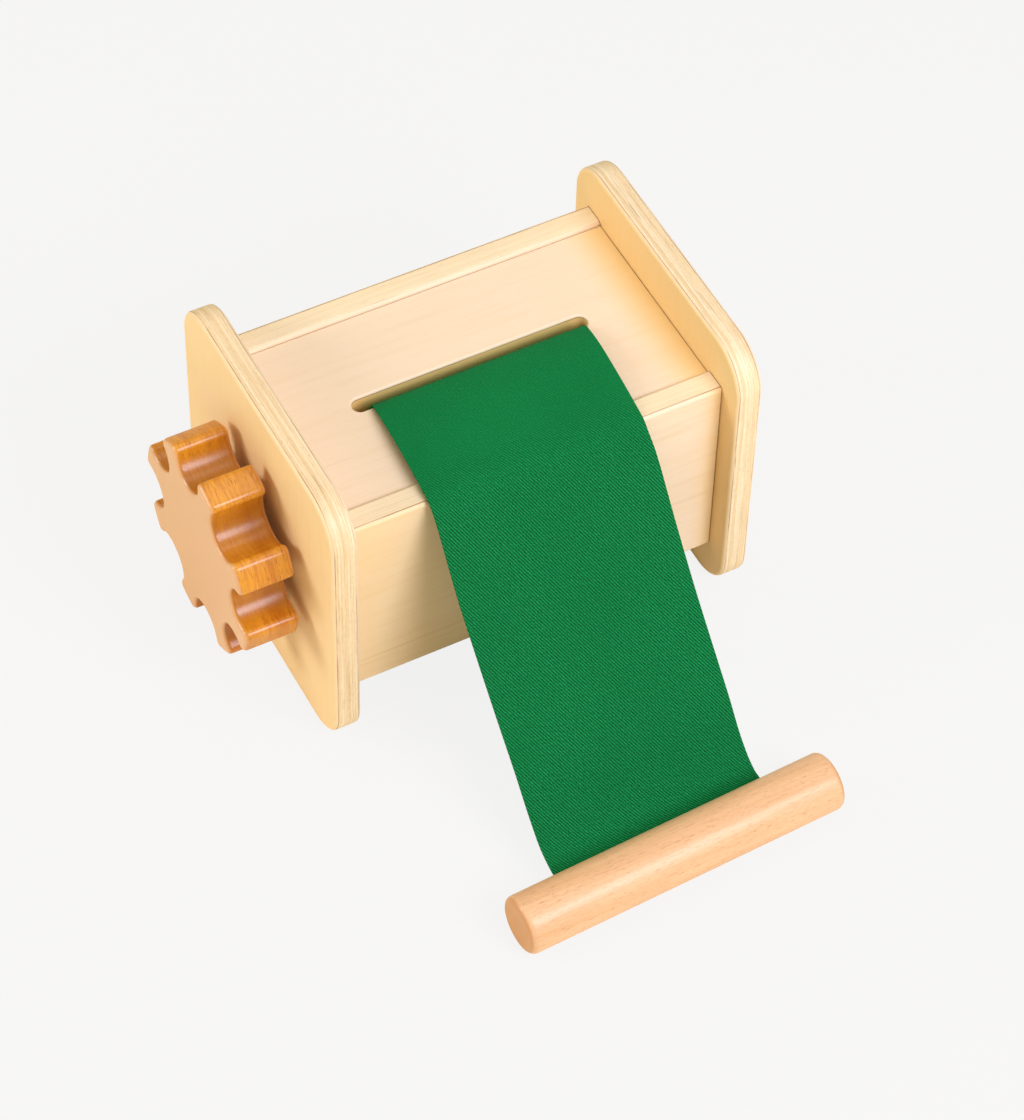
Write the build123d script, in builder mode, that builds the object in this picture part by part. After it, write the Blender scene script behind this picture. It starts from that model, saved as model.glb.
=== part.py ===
"""Ribbon winder: a plywood box on two end panels, with a ribbon roller that a toothed knob turns.

Millimetres, +Z up.  X runs along the box, from the knob to the right end panel, and Y runs
from the handle to the back.  The pieces are built about the point on the table under the
middle of the box, and are moved together at the end, so that the origin lies on the table
under the middle of the whole winder.
"""
from build123d import *
from math import acos, cos, degrees, dist, hypot, radians, sin, tan
import os

# ---------------------------------------------------------------- driving dimensions
# plywood box
ply = 12.0                    # thickness of every panel but the floor
end_depth = 142.0             # end panels, front to back
end_height = 146.0
end_corner = 20.0             # radius of their four corners
panel_round = 2.0             # round-over on the exposed plywood edges
inner_length = 174.0          # between the end panels
body_depth = 118.5            # front face to back face
body_shift = 0.25             # the body stands this far behind the middle of the end panels
body_bottom = 22.5            # underside of the front and back panels
body_top = 123.4              # their top edges
lid_drop = 1.9                # lid surface below those edges
bottom_round = 1.0            # round-over on the bottom edges of the front and back panels
lid_chamfer = 0.4             # eased top edges of the lid, which show as thin lines at its joints
joint_chamfer = 0.5           # eased ends of those panels, and of the dowels
floor_ply = 6.0               # thin floor board
floor_rise = 3.0              # its underside above the body's underside
groove_depth = 4.0            # grooves that hold the floor
groove_gap = 0.1              # clearance of the floor in its grooves

# slot in the lid
slot_length = 110.1
slot_width = 7.5
slot_x = 1.0                  # middle of the slot
slot_y = 2.2
slot_round = 1.0              # eased top edge

# joint dowels
pin_radius = 3.0
pin_in_end = 8.0              # depth in the end panel
pin_in_edge = 16.0            # depth in the edge of the other panel
pin_end_gap = 0.5             # free depth at each end of a dowel hole
pin_margin = 17.0             # outermost dowels from the panel's edges
glue_gap = 0.05               # radial room for glue
wall_pin_count = 3            # along each end of the front and back panels
lid_pin_count = 2

# axle and roller
axle_radius = 6.0
axle_height = 73.0
running_gap = 0.08            # radial clearance of the turning axle
axle_in_right = 8.0           # depth of the axle's end in the right panel
axle_in_knob = 17.0           # and in the knob
bore_end_gap = 0.6
roller_radius = 12.0
roller_kerf_depth = 4.5
washer_radius = 10.0
washer_thickness = 2.0
end_play = 0.4                # between the roller and each washer
cross_pin_radius = 1.5
cross_pin_inset = 14.0        # cross pins from the roller's ends
cross_pin_recess = 0.5

# knob
knob_radius = 49.0
knob_teeth = 8
knob_thickness = 25.0
knob_notch_radius = 10.6      # round notches between the teeth
knob_notch_centre = 44.5      # their centres from the axle
knob_corner = 3.0             # rounded corners of the teeth
knob_edge = 2.0               # round-over on both faces
knob_phase = 15.4             # angle of the first tooth above the back
spacer_radius = 14.0
spacer_thickness = 4.0
spacer_play = 0.5

# ribbon
ribbon_width = 100.0
ribbon_thickness = 0.6
ribbon_left = -50.4           # left edge of the free stretch
turn_count = 4                # turns left on the roller
turn_pitch = 1.3              # from one turn to the next
seat_gap = 0.3                # between the roller and the first turn
roll_gap = 0.35               # between the turning roll and the stretch that leaves it
slot_touch = 0.3              # between the ribbon and the front edge of the slot
# Free stretch, as (forward, up) from the slot's front edge, and from the front panel's top
# edge.  The left side of the ribbon stands a little higher than the right, which just clears it.
hump_left = [(-1.95, 2.2), (-5.2, 3.1), (-11.0, 3.9), (-21.0, 5.0), (-33.0, 5.5), (-47.0, 5.4)]
hump_right = [(-1.95, 2.1), (-4.8, 2.9), (-9.0, 3.8), (-16.0, 4.6), (-29.0, 4.6), (-43.0, 4.0)]
crest_left = [(3.9, 3.2), (0.3, 2.5), (-2.7, 0.7), (-7.8, -4.1)]
crest_right = [(5.0, 1.3), (0.4, 0.0), (-4.2, -3.4), (-9.5, -7.4)]
straight_start = 0.8          # the free stretch first goes on as it left the slot
straight_end = 2.5            # and it ends square to the handle
# Then, down to the handle, (share of the way, drop below the straight line).
slope_left = [
    (0.06, 2.3), (0.12, 5.1), (0.20, 7.8), (0.32, 9.0), (0.50, 10.0), (0.66, 10.2),
    (0.80, 11.5), (0.88, 10.2), (0.94, 6.2),
]
slope_right = [
    (0.07, 0.6), (0.14, 2.8), (0.25, 5.6), (0.38, 7.9), (0.55, 9.1), (0.70, 9.9),
    (0.83, 11.5), (0.89, 9.9), (0.95, 5.8),
]

# handle
handle_radius = 12.9
handle_length = 151.0
handle_x = -1.4               # middle of the handle
handle_y = -189.8
handle_yaw = 2.63             # its right end lies further back
handle_end_round = 3.0
key_thickness = 1.0           # wooden strips that wedge the ribbon in its kerfs
kerf_depth = 9.0              # kerf in the back of the handle
kerf_spare = 2.0              # kerf longer than the ribbon is wide, at each side
kerf_gap = 0.1                # clearance of the ribbon and the key in a kerf
handle_gap = 0.3              # between the free stretch and the ribbon end in the handle

# ---------------------------------------------------------------- places worked out from them
half_inner = inner_length / 2
body_front = body_shift - body_depth / 2
body_back = body_shift + body_depth / 2
wall_height = body_top - body_bottom
inner_depth = body_depth - 2 * ply
lid_top = body_top - lid_drop
floor_bottom = body_bottom + floor_rise
pin_length = pin_in_end + pin_in_edge - 2 * pin_end_gap
kerf_width = ribbon_thickness + key_thickness + 3 * kerf_gap
knob_back = -half_inner - ply - spacer_thickness - spacer_play
knob_front = knob_back - knob_thickness
roller_half = half_inner - washer_thickness - end_play
axle_left = knob_back - axle_in_knob + bore_end_gap
axle_right = half_inner + axle_in_right - bore_end_gap
ribbon_right = ribbon_left + ribbon_width


def at_angle(radius, angle):
    """Point at a radius and an angle in degrees about the axle."""
    return (radius * cos(radians(angle)), radius * sin(radians(angle)))


# The ribbon is wound outwards in half turns about two middles, half a pitch apart.  It leaves
# the back of the roll along the line that touches the roll and the front edge of the slot.
first_turn = roller_radius + seat_gap + turn_pitch / 4
last_turn = first_turn + (2 * turn_count - 1) * turn_pitch / 2
roll_radius = last_turn + turn_pitch / 4 + ribbon_thickness
leave_radius = roll_radius + roll_gap
slot_front = slot_y - slot_width / 2
slot_edge = (slot_front + slot_touch, lid_top - axle_height)
edge_distance = hypot(*slot_edge)
edge_bearing = degrees(acos(slot_edge[0] / edge_distance))
leave_angle = edge_bearing - degrees(acos(leave_radius / edge_distance))


def roll_plane(x):
    """Plane square to the axle, whose first axis points to where the ribbon leaves the roll."""
    first = (0, cos(radians(leave_angle)), sin(radians(leave_angle)))
    return Plane(origin=(x, 0, axle_height), x_dir=first, z_dir=(1, 0, 0))


# lines of joint dowels at each end: (y, z) of every dowel
wall_pin_z = [
    body_bottom + pin_margin + i * (wall_height - 2 * pin_margin) / (wall_pin_count - 1)
    for i in range(wall_pin_count)
]
front_pins = [(body_front + ply / 2, z) for z in wall_pin_z]
back_pins = [(body_back - ply / 2, z) for z in wall_pin_z]
lid_pin_y = [
    body_shift + (i - (lid_pin_count - 1) / 2) * (inner_depth - 2 * pin_margin) / (lid_pin_count - 1)
    for i in range(lid_pin_count)
]
lid_pins = [(y, lid_top - ply / 2) for y in lid_pin_y]
all_pins = front_pins + back_pins + lid_pins

parts = []


def across(x):
    """Sketch plane square to the box's length: its own axes are Y and Z."""
    return Plane.YZ.offset(x)


def keep(part, name):
    """Names a finished piece and sets it aside for export."""
    part.label = name
    parts.append(part)


def dowel_line(points, x0, x1, radius):
    """Round bars, or holes to be cut, from x0 to x1 at each (y, z) of points."""
    with BuildSketch(across(x0)) as rounds:
        with Locations(*points):
            Circle(radius)
    extrude(rounds.sketch, amount=x1 - x0, mode=Mode.SUBTRACT)


# ---------------------------------------------------------------- end panels
def end_outline(x):
    """Rounded outline that both end panels share."""
    with BuildSketch(across(x)) as outline:
        with Locations((0, end_height / 2)):
            RectangleRounded(end_depth, end_height, end_corner)
    extrude(outline.sketch, amount=ply)
    fillet(faces().filter_by(Axis.X).edges(), panel_round)


with BuildPart() as left_end_panel:
    end_outline(-half_inner - ply)
    dowel_line(all_pins, -half_inner - pin_in_end, -half_inner, pin_radius + glue_gap)
    dowel_line([(0, axle_height)], -half_inner - ply, -half_inner, axle_radius + running_gap)
keep(left_end_panel.part, "left_end_panel")

with BuildPart() as right_end_panel:
    end_outline(half_inner)
    dowel_line(all_pins, half_inner, half_inner + pin_in_end, pin_radius + glue_gap)
    dowel_line([(0, axle_height)], half_inner, half_inner + axle_in_right, axle_radius + running_gap)
keep(right_end_panel.part, "right_end_panel")


# ---------------------------------------------------------------- front and back panels
def wall_panel(y_low, groove_y, pins):
    """Upright panel between the end panels, with the floor's groove in its inner face."""
    with BuildSketch(Plane.XY.offset(body_bottom)) as outline:
        with Locations((0, y_low + ply / 2)):
            Rectangle(inner_length, ply)
    extrude(outline.sketch, amount=wall_height)
    chamfer(edges().filter_by(Axis.Z), joint_chamfer)
    fillet(edges().filter_by(Axis.X).group_by(Axis.Z)[-1], panel_round)
    fillet(edges().filter_by(Axis.X).group_by(Axis.Z)[0], bottom_round)
    with BuildSketch(Plane.XY.offset(floor_bottom - groove_gap)) as groove:
        with Locations((0, groove_y)):
            Rectangle(inner_length, 2 * groove_depth)
    extrude(groove.sketch, amount=floor_ply + 2 * groove_gap, mode=Mode.SUBTRACT)
    dowel_line(pins, -half_inner, -half_inner + pin_in_edge, pin_radius + glue_gap)
    dowel_line(pins, half_inner - pin_in_edge, half_inner, pin_radius + glue_gap)


with BuildPart() as front_panel:
    wall_panel(body_front, body_front + ply, front_pins)
keep(front_panel.part, "front_panel")

with BuildPart() as back_panel:
    wall_panel(body_back - ply, body_back - ply, back_pins)
keep(back_panel.part, "back_panel")

# ---------------------------------------------------------------- lid and floor
with BuildPart() as lid_panel:
    with BuildSketch(Plane.XY.offset(lid_top - ply)):
        with Locations((0, body_shift)):
            Rectangle(inner_length, inner_depth)
    extrude(amount=ply)
    with BuildSketch(Plane.XY.offset(lid_top - ply)):
        with Locations((slot_x, slot_y)):
            SlotOverall(slot_length, slot_width)
    extrude(amount=ply, mode=Mode.SUBTRACT)
    slot_rim = lid_panel.faces().sort_by(Axis.Z)[-1].inner_wires()[0].edges()
    fillet(slot_rim, slot_round)
    lid_rim = lid_panel.faces().sort_by(Axis.Z)[-1].outer_wire().edges()
    chamfer(lid_rim, lid_chamfer)
    dowel_line(lid_pins, -half_inner, -half_inner + pin_in_edge, pin_radius + glue_gap)
    dowel_line(lid_pins, half_inner - pin_in_edge, half_inner, pin_radius + glue_gap)
keep(lid_panel.part, "lid_panel")

with BuildPart() as floor_panel:
    with BuildSketch(Plane.XY.offset(floor_bottom)):
        with Locations((0, body_shift)):
            Rectangle(inner_length, inner_depth + 2 * (groove_depth - groove_gap))
    extrude(amount=floor_ply)
keep(floor_panel.part, "floor_panel")


# ---------------------------------------------------------------- joint dowels
def joint_dowels(x0, x1):
    """Chamfered beech dowels from x0 to x1 in every joint of one end."""
    with BuildSketch(across(x0)) as rounds:
        with Locations(*all_pins):
            Circle(pin_radius)
    extrude(rounds.sketch, amount=x1 - x0)
    chamfer(faces().filter_by(Axis.X).edges(), joint_chamfer)


with BuildPart() as left_joint_dowels:
    left_pin_start = -half_inner - pin_in_end + pin_end_gap
    joint_dowels(left_pin_start, left_pin_start + pin_length)
keep(left_joint_dowels.part, "left_joint_dowels")

with BuildPart() as right_joint_dowels:
    right_pin_end = half_inner + pin_in_end - pin_end_gap
    joint_dowels(right_pin_end - pin_length, right_pin_end)
keep(right_joint_dowels.part, "right_joint_dowels")

# ---------------------------------------------------------------- axle, roller and washers
with BuildPart() as axle:
    with BuildSketch(across(axle_left)):
        with Locations((0, axle_height)):
            Circle(axle_radius)
    extrude(amount=axle_right - axle_left)
    chamfer(faces().filter_by(Axis.X).edges(), joint_chamfer)
    for side in (-1, 1):
        pin_x = side * (roller_half - cross_pin_inset)
        with BuildSketch(Plane.XY.offset(axle_height - axle_radius)):
            with Locations((pin_x, 0)):
                Circle(cross_pin_radius + glue_gap)
        extrude(amount=2 * axle_radius, mode=Mode.SUBTRACT)
keep(axle.part, "axle")

with BuildPart() as roller:
    with BuildSketch(across(-roller_half)):
        with Locations((0, axle_height)):
            Circle(roller_radius)
            Circle(axle_radius + glue_gap, mode=Mode.SUBTRACT)
    extrude(amount=2 * roller_half)
    chamfer(faces().filter_by(Axis.X).edges().filter_by(lambda e: e.radius > axle_radius + 1), joint_chamfer)
    for side in (-1, 1):
        pin_x = side * (roller_half - cross_pin_inset)
        with BuildSketch(Plane.XY.offset(axle_height - roller_radius)):
            with Locations((pin_x, 0)):
                Circle(cross_pin_radius + glue_gap)
        extrude(amount=2 * roller_radius, mode=Mode.SUBTRACT)
    with BuildSketch(roll_plane(ribbon_left - kerf_spare)):
        with Locations((roller_radius, 0)):
            Rectangle(2 * roller_kerf_depth, kerf_width)
    extrude(amount=ribbon_width + 2 * kerf_spare, mode=Mode.SUBTRACT)
keep(roller.part, "roller")

with BuildPart() as roller_cross_pins:
    for side in (-1, 1):
        pin_x = side * (roller_half - cross_pin_inset)
        with BuildSketch(Plane.XY.offset(axle_height - roller_radius + cross_pin_recess)):
            with Locations((pin_x, 0)):
                Circle(cross_pin_radius)
        extrude(amount=2 * (roller_radius - cross_pin_recess))
keep(roller_cross_pins.part, "roller_cross_pins")


def washer(x, outer_radius, thickness):
    """Flat ring on the axle."""
    with BuildSketch(across(x)) as ring:
        with Locations((0, axle_height)):
            Circle(outer_radius)
            Circle(axle_radius + running_gap, mode=Mode.SUBTRACT)
    extrude(ring.sketch, amount=thickness)


with BuildPart() as left_thrust_washer:
    washer(-half_inner, washer_radius, washer_thickness)
keep(left_thrust_washer.part, "left_thrust_washer")

with BuildPart() as right_thrust_washer:
    washer(half_inner - washer_thickness, washer_radius, washer_thickness)
keep(right_thrust_washer.part, "right_thrust_washer")

with BuildPart() as knob_spacer:
    washer(-half_inner - ply - spacer_thickness, spacer_radius, spacer_thickness)
keep(knob_spacer.part, "knob_spacer")

# ---------------------------------------------------------------- knob
# The rim and a notch are joined by the tooth's rounded corner, whose centre lies knob_corner
# inside the rim and knob_notch_radius + knob_corner from the middle of the notch.
corner_centre = knob_radius - knob_corner
corner_reach = knob_notch_radius + knob_corner
corner_angle = degrees(
    acos(
        (corner_centre**2 + knob_notch_centre**2 - corner_reach**2)
        / (2 * corner_centre * knob_notch_centre)
    )
)
tooth_angle = 360 / knob_teeth


def between(start, end, share):
    """Point a share of the way from start to end."""
    return (start[0] + share * (end[0] - start[0]), start[1] + share * (end[1] - start[1]))


def beyond(centre, towards, radius):
    """Point at a radius from centre, in the direction of another point."""
    reach = hypot(towards[0] - centre[0], towards[1] - centre[1])
    return between(centre, towards, radius / reach)


with BuildPart() as knob:
    knob_plane = Plane(origin=(knob_front, 0, axle_height), x_dir=(0, 1, 0), z_dir=(1, 0, 0))
    with BuildSketch(knob_plane):
        with BuildLine():
            for tooth in range(knob_teeth):
                tip = knob_phase + tooth * tooth_angle
                notch = tip + tooth_angle / 2
                notch_centre = at_angle(knob_notch_centre, notch)
                first = at_angle(corner_centre, notch - corner_angle)
                second = at_angle(corner_centre, notch + corner_angle)
                rim_start = at_angle(knob_radius, tip - tooth_angle / 2 + corner_angle)
                rim_end = at_angle(knob_radius, notch - corner_angle)
                notch_start = beyond(first, notch_centre, knob_corner)
                notch_end = beyond(second, notch_centre, knob_corner)
                next_rim = at_angle(knob_radius, notch + corner_angle)
                valley = at_angle(knob_notch_centre - knob_notch_radius, notch)
                first_bulge = beyond(first, between(rim_end, notch_start, 0.5), knob_corner)
                second_bulge = beyond(second, between(next_rim, notch_end, 0.5), knob_corner)
                ThreePointArc(rim_start, at_angle(knob_radius, tip), rim_end)
                ThreePointArc(rim_end, first_bulge, notch_start)
                ThreePointArc(notch_start, valley, notch_end)
                ThreePointArc(notch_end, second_bulge, next_rim)
        make_face()
    extrude(amount=knob_thickness)
    fillet(faces().filter_by(Axis.X).edges(), knob_edge)
    with BuildSketch(across(knob_back - axle_in_knob)):
        with Locations((0, axle_height)):
            Circle(axle_radius + glue_gap)
    extrude(amount=axle_in_knob, mode=Mode.SUBTRACT)
keep(knob.part, "knob")

# ---------------------------------------------------------------- ribbon on the roller
with BuildPart() as ribbon_wound:
    with BuildSketch(roll_plane(ribbon_left)):
        with BuildLine():
            for half_turn in range(2 * turn_count):
                radius = first_turn + half_turn * turn_pitch / 2
                start_angle = 180 * (half_turn % 2)
                middle = (turn_pitch / 4 if half_turn % 2 else -turn_pitch / 4, 0)
                CenterArc(middle, radius, start_angle, 180)
                CenterArc(middle, radius + ribbon_thickness, start_angle, 180)
            inner_end = first_turn - turn_pitch / 4
            outer_end = last_turn + turn_pitch / 4
            Line((inner_end, 0), (inner_end + ribbon_thickness, 0))
            Line((outer_end, 0), (outer_end + ribbon_thickness, 0))
        make_face()
    extrude(amount=ribbon_width)
keep(ribbon_wound.part, "ribbon_wound")


def wound_point(half_turn, share, depth):
    """Point a share of the way round a half turn of the roll, at a depth in the ribbon."""
    middle = turn_pitch / 4 if half_turn % 2 else -turn_pitch / 4
    reach = first_turn + half_turn * turn_pitch / 2 + depth
    y, z = at_angle(reach, 180 * (half_turn % 2 + share))
    return (middle + y, z)


turn_gaps = []
for half_turn in range(2 * turn_count - 2):
    for step in range(37):
        outside = wound_point(half_turn, step / 36, ribbon_thickness)
        inside = wound_point(half_turn + 2, step / 36, 0)
        turn_gaps.append(dist(outside, inside))
print("least gap between the ribbon's turns", round(min(turn_gaps, default=0), 3))

# In each kerf the ribbon lies against one wall, and the key wedges it from the other side.
ribbon_in_kerf = -kerf_width / 2 + kerf_gap
key_in_kerf = ribbon_in_kerf + ribbon_thickness + kerf_gap
with BuildPart() as ribbon_roller_end:
    with BuildSketch(roll_plane(ribbon_left)):
        with Locations((roller_radius, ribbon_in_kerf)):
            Rectangle(roller_kerf_depth - kerf_gap, ribbon_thickness, align=(Align.MAX, Align.MIN))
    extrude(amount=ribbon_width)
keep(ribbon_roller_end.part, "ribbon_roller_end")

with BuildPart() as roller_key:
    with BuildSketch(roll_plane(ribbon_left)):
        with Locations((roller_radius, key_in_kerf)):
            Rectangle(roller_kerf_depth - kerf_gap, key_thickness, align=(Align.MAX, Align.MIN))
    extrude(amount=ribbon_width)
keep(roller_key.part, "roller_key")

# ---------------------------------------------------------------- handle
handle_turn = radians(handle_yaw)
handle_along = (cos(handle_turn), sin(handle_turn), 0)
handle_across = (-sin(handle_turn), cos(handle_turn), 0)


def handle_plane(along):
    """Plane square to the handle, a distance along it from its middle: Y is up."""
    x = handle_x + along * handle_along[0]
    y = handle_y + along * handle_along[1]
    return Plane(origin=(x, y, handle_radius), x_dir=handle_across, z_dir=handle_along)


kerf_half = ribbon_width / 2 + kerf_spare
kerf_middle = (ribbon_left + ribbon_right) / 2 - handle_x
with BuildPart() as handle_bar:
    with BuildSketch(handle_plane(-handle_length / 2)):
        Circle(handle_radius)
    extrude(amount=handle_length)
    fillet(edges().filter_by(GeomType.CIRCLE), handle_end_round)
    with BuildSketch(handle_plane(kerf_middle - kerf_half)):
        with Locations((handle_radius, 0)):
            Rectangle(2 * kerf_depth, kerf_width)
    extrude(amount=2 * kerf_half, mode=Mode.SUBTRACT)
keep(handle_bar.part, "handle_bar")

with BuildPart() as ribbon_handle_end:
    with BuildSketch(handle_plane(kerf_middle - ribbon_width / 2)):
        with Locations((handle_radius, ribbon_in_kerf)):
            Rectangle(kerf_depth - kerf_gap, ribbon_thickness, align=(Align.MAX, Align.MIN))
    extrude(amount=ribbon_width)
keep(ribbon_handle_end.part, "ribbon_handle_end")

with BuildPart() as handle_key:
    with BuildSketch(handle_plane(kerf_middle - ribbon_width / 2)):
        with Locations((handle_radius - kerf_gap, key_in_kerf)):
            Rectangle(kerf_depth - 2 * kerf_gap, key_thickness, align=(Align.MAX, Align.MIN))
    extrude(amount=ribbon_width)
keep(handle_key.part, "handle_key")

# ---------------------------------------------------------------- free stretches of the ribbon
run_start = at_angle(leave_radius, leave_angle)
run_end = (slot_edge[0], lid_top)
run_across = at_angle(ribbon_thickness, leave_angle)
with BuildPart() as ribbon_inner_run:
    with BuildSketch(across(ribbon_left)):
        with BuildLine():
            Polyline(
                (run_start[0], axle_height + run_start[1]),
                (run_start[0] + run_across[0], axle_height + run_start[1] + run_across[1]),
                (run_end[0] + run_across[0], run_end[1] + run_across[1]),
                run_end,
                close=True,
            )
        make_face()
    extrude(amount=ribbon_width)
keep(ribbon_inner_run.part, "ribbon_inner_run")


def free_path(x, hump, crest, slope):
    """Middle of one edge of the free stretch, from the slot to the handle, as (y, z) points."""
    start = (run_end[0] + run_across[0] / 2, run_end[1] + run_across[1] / 2)
    leaving = at_angle(straight_start, leave_angle + 90)
    path = [start, (start[0] + leaving[0], start[1] + leaving[1])]
    path += [(slot_edge[0] + forward, lid_top + up) for forward, up in hump]
    path += [(body_front + forward, body_top + up) for forward, up in crest]
    back_of_handle = handle_y + (x - handle_x) * tan(handle_turn) + handle_radius / cos(handle_turn)
    end = (back_of_handle + handle_gap, handle_radius + ribbon_in_kerf + ribbon_thickness / 2)
    top = path[-1]
    for share, drop in slope:
        y, z = between(top, end, share)
        path.append((y, z - drop))
    path.append((end[0] + straight_end, end[1]))
    path.append(end)
    return path


def side_points(path, side):
    """The path moved half the ribbon's thickness to one side, square to its direction."""
    moved = []
    for i, (y, z) in enumerate(path):
        before = path[max(i - 1, 0)]
        after = path[min(i + 1, len(path) - 1)]
        step = (after[0] - before[0], after[1] - before[1])
        half = side * ribbon_thickness / 2 / hypot(*step)
        moved.append((y + half * step[1], z - half * step[0]))
    return moved


with BuildPart() as ribbon_outer_run:
    for x, hump, crest, slope in (
        (ribbon_left, hump_left, crest_left, slope_left),
        (ribbon_right, hump_right, crest_right, slope_right),
    ):
        path = free_path(x, hump, crest, slope)
        upper = side_points(path, 1)
        lower = side_points(path, -1)
        with BuildSketch(across(x)):
            with BuildLine():
                Spline(*upper)
                Line(upper[-1], lower[-1])
                Spline(*lower)
                Line(lower[0], upper[0])
            make_face()
    loft(ruled=True)
keep(ribbon_outer_run.part, "ribbon_outer_run")

# ---------------------------------------------------------------- origin and export
# The origin lies on the table, under the middle of the whole winder.
boxes = [piece.bounding_box() for piece in parts]
middle_x = (min(box.min.X for box in boxes) + max(box.max.X for box in boxes)) / 2
middle_y = (min(box.min.Y for box in boxes) + max(box.max.Y for box in boxes)) / 2
to_origin = Location((-middle_x, -middle_y, -min(box.min.Z for box in boxes)))
print("moved by", to_origin.position)

os.makedirs("parts", exist_ok=True)
for piece in parts:
    placed = piece.moved(to_origin)
    placed.label = piece.label
    export_step(placed, f"parts/{piece.label}.step")
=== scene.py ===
"""Ribbon winder in birch plywood and beech, with a green twill ribbon."""

import math

import bpy
from mathutils import Matrix, Vector
from mathutils.geometry import interpolate_bezier


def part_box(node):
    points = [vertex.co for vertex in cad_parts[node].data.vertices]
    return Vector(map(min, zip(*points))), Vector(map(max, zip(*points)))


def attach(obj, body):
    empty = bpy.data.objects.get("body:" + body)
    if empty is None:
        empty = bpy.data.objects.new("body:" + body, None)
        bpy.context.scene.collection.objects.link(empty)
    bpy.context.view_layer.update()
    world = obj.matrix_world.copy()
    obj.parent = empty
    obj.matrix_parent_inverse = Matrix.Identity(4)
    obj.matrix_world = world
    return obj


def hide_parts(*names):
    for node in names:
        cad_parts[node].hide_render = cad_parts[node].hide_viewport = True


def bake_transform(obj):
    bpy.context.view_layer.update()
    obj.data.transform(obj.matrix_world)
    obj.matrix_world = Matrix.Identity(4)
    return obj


bl_info = {
    "name": "Ribbon Winder",
    "version": (1, 0, 0),
    "blender": (4, 5, 0),
    "location": "View3D > Sidebar > Winder",
    "description": "Finishes a plywood ribbon winder with its toothed knob, handle and ribbon",
    "category": "Object",
}

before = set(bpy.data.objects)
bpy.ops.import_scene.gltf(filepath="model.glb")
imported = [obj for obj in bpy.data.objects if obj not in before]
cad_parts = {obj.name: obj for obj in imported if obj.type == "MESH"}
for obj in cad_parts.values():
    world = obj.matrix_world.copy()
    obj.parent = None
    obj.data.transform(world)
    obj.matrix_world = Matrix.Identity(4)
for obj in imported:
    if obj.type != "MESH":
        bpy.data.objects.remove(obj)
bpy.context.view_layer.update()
bpy.ops.object.select_all(action="DESELECT")

MM = 0.001

# The box's own middle: between the end panels, halfway along their depth, on the table.
left_low, left_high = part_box("left_end_panel")
right_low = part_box("right_end_panel")[0]
BOX_X = (left_high.x + right_low.x) / 2
BOX_Y = (left_low.y + left_high.y) / 2
AXLE_Z = sum(v.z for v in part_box("axle")) / 2
LID_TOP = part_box("lid_panel")[1].z
FRONT_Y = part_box("front_panel")[0].y
FRONT_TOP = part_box("front_panel")[1].z
RIBBON_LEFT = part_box("ribbon_inner_run")[0].x
RIBBON_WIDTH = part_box("ribbon_inner_run")[1].x - RIBBON_LEFT


def colour(red, green, blue):
    """A screen colour from 0 to 255 as the linear colour that Blender works in."""
    parts = []
    for value in (red, green, blue):
        share = value / 255
        parts.append(share / 12.92 if share <= 0.04045 else ((share + 0.055) / 1.055) ** 2.4)
    return (*parts, 1.0)


# ------------------------------------------------------------------ settings
class PlywoodSettings(bpy.types.PropertyGroup):
    face: bpy.props.FloatVectorProperty(
        name="Face veneer", description="Birch veneer on the broad faces",
        subtype="COLOR", size=4, min=0, max=1, default=colour(249, 222, 194))
    long_ply: bpy.props.FloatVectorProperty(
        name="Light plies", description="Plies whose grain runs with the face",
        subtype="COLOR", size=4, min=0, max=1, default=colour(252, 229, 194))
    cross_ply: bpy.props.FloatVectorProperty(
        name="Tan plies", description="Plies whose grain runs across the face",
        subtype="COLOR", size=4, min=0, max=1, default=colour(242, 206, 156))
    glue: bpy.props.FloatVectorProperty(
        name="Glue lines", description="Thin lines between the plies",
        subtype="COLOR", size=4, min=0, max=1, default=colour(160, 108, 62))
    # painted shade: a deeper yellow that is blended into the veneer near chosen planes, in place of shade
    # and bounce light
    painted_shade_tone: bpy.props.FloatVectorProperty(
        name="Warm veneer", description="Honey tone of the veneer in the sheltered corners",
        subtype="COLOR", size=4, min=0, max=1, default=colour(249, 201, 98))
    seam: bpy.props.FloatVectorProperty(
        name="Joint lines", description="Dark lines where two panels meet",
        subtype="COLOR", size=4, min=0, max=1, default=colour(134, 86, 38))
    ply: bpy.props.FloatProperty(
        name="Ply", description="Thickness of one ply",
        subtype="DISTANCE", min=0.0005, max=0.003, default=12 / 9 * MM)


class BeechSettings(bpy.types.PropertyGroup):
    knob_side: bpy.props.FloatVectorProperty(
        name="Knob sides", description="Beech on the teeth and between them",
        subtype="COLOR", size=4, min=0, max=1, default=colour(228, 153, 38))
    knob_face: bpy.props.FloatVectorProperty(
        name="Knob face", description="Beech on the flat faces of the knob",
        subtype="COLOR", size=4, min=0, max=1, default=colour(229, 172, 124))
    handle: bpy.props.FloatVectorProperty(
        name="Handle", description="Pale beech of the pull handle",
        subtype="COLOR", size=4, min=0, max=1, default=colour(241, 191, 148))


class RibbonSettings(bpy.types.PropertyGroup):
    thickness: bpy.props.FloatProperty(
        name="Thickness", description="Thickness of the woven ribbon",
        subtype="DISTANCE", min=0.0002, max=0.002, default=0.6 * MM)
    twill: bpy.props.FloatProperty(
        name="Twill spacing", description="Distance from one twill line to the next",
        subtype="DISTANCE", min=0.0004, max=0.003, default=1.09 * MM)
    thread: bpy.props.FloatVectorProperty(
        name="Ribbon", description="Green of the raised threads",
        subtype="COLOR", size=4, min=0, max=1, default=colour(2, 122, 62))
    hollow: bpy.props.FloatVectorProperty(
        name="Between threads", description="Darker green between the raised threads",
        subtype="COLOR", size=4, min=0, max=1, default=colour(0, 70, 30))
    turns: bpy.props.IntProperty(
        name="Turns", description="Turns of ribbon left on the roller", min=1, max=12, default=4)


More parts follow.
